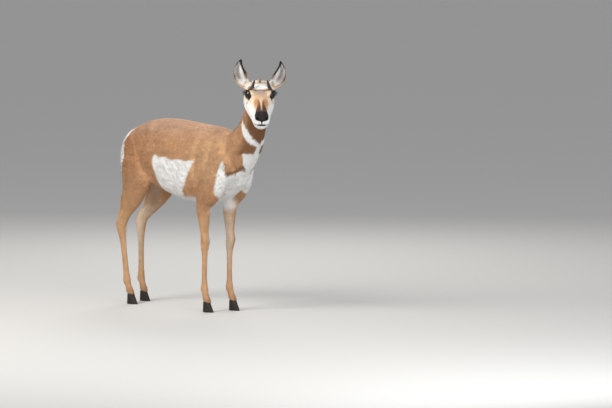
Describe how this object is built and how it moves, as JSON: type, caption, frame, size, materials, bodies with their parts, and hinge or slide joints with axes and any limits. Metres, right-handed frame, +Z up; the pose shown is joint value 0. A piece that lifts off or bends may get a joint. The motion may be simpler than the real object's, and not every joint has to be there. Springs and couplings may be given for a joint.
{
  "type": "pronghorn",
  "caption": "Life-size pronghorn doe standing alert with her head turned to her right, with cupped ears, short spike horns, a short tail and cloven hooves.",
  "frame": {"origin": "on the floor, under the middle of the animal's bounding box", "axes": "+X from the rump to the chest, +Y to the animal's left, +Z up"},
  "size_m": [1.1111, 0.3203, 1.2035],
  "materials": {
    "coat": "short dense hair, tan with white bands",
    "horn": "dark horn, finely ridged",
    "hoof": "dark horn, worn smooth",
    "eye": "wet, near black"
  },
  "bodies": {
    "root": {"torso": "coat", "neck": "coat", "head": "coat", "tail": "coat", "foreleg_left": "coat", "foreleg_right": "coat", "hindleg_left": "coat", "hindleg_right": "coat", "ear_left": "coat", "ear_right": "coat", "eye_left": "eye", "eye_right": "eye", "horn_left": "horn", "horn_right": "horn", "hoof_fore_left_outer": "hoof", "hoof_fore_left_inner": "hoof", "hoof_fore_right_outer": "hoof", "hoof_fore_right_inner": "hoof", "hoof_hind_left_outer": "hoof", "hoof_hind_left_inner": "hoof", "hoof_hind_right_outer": "hoof", "hoof_hind_right_inner": "hoof"}
  },
  "joints": []
}
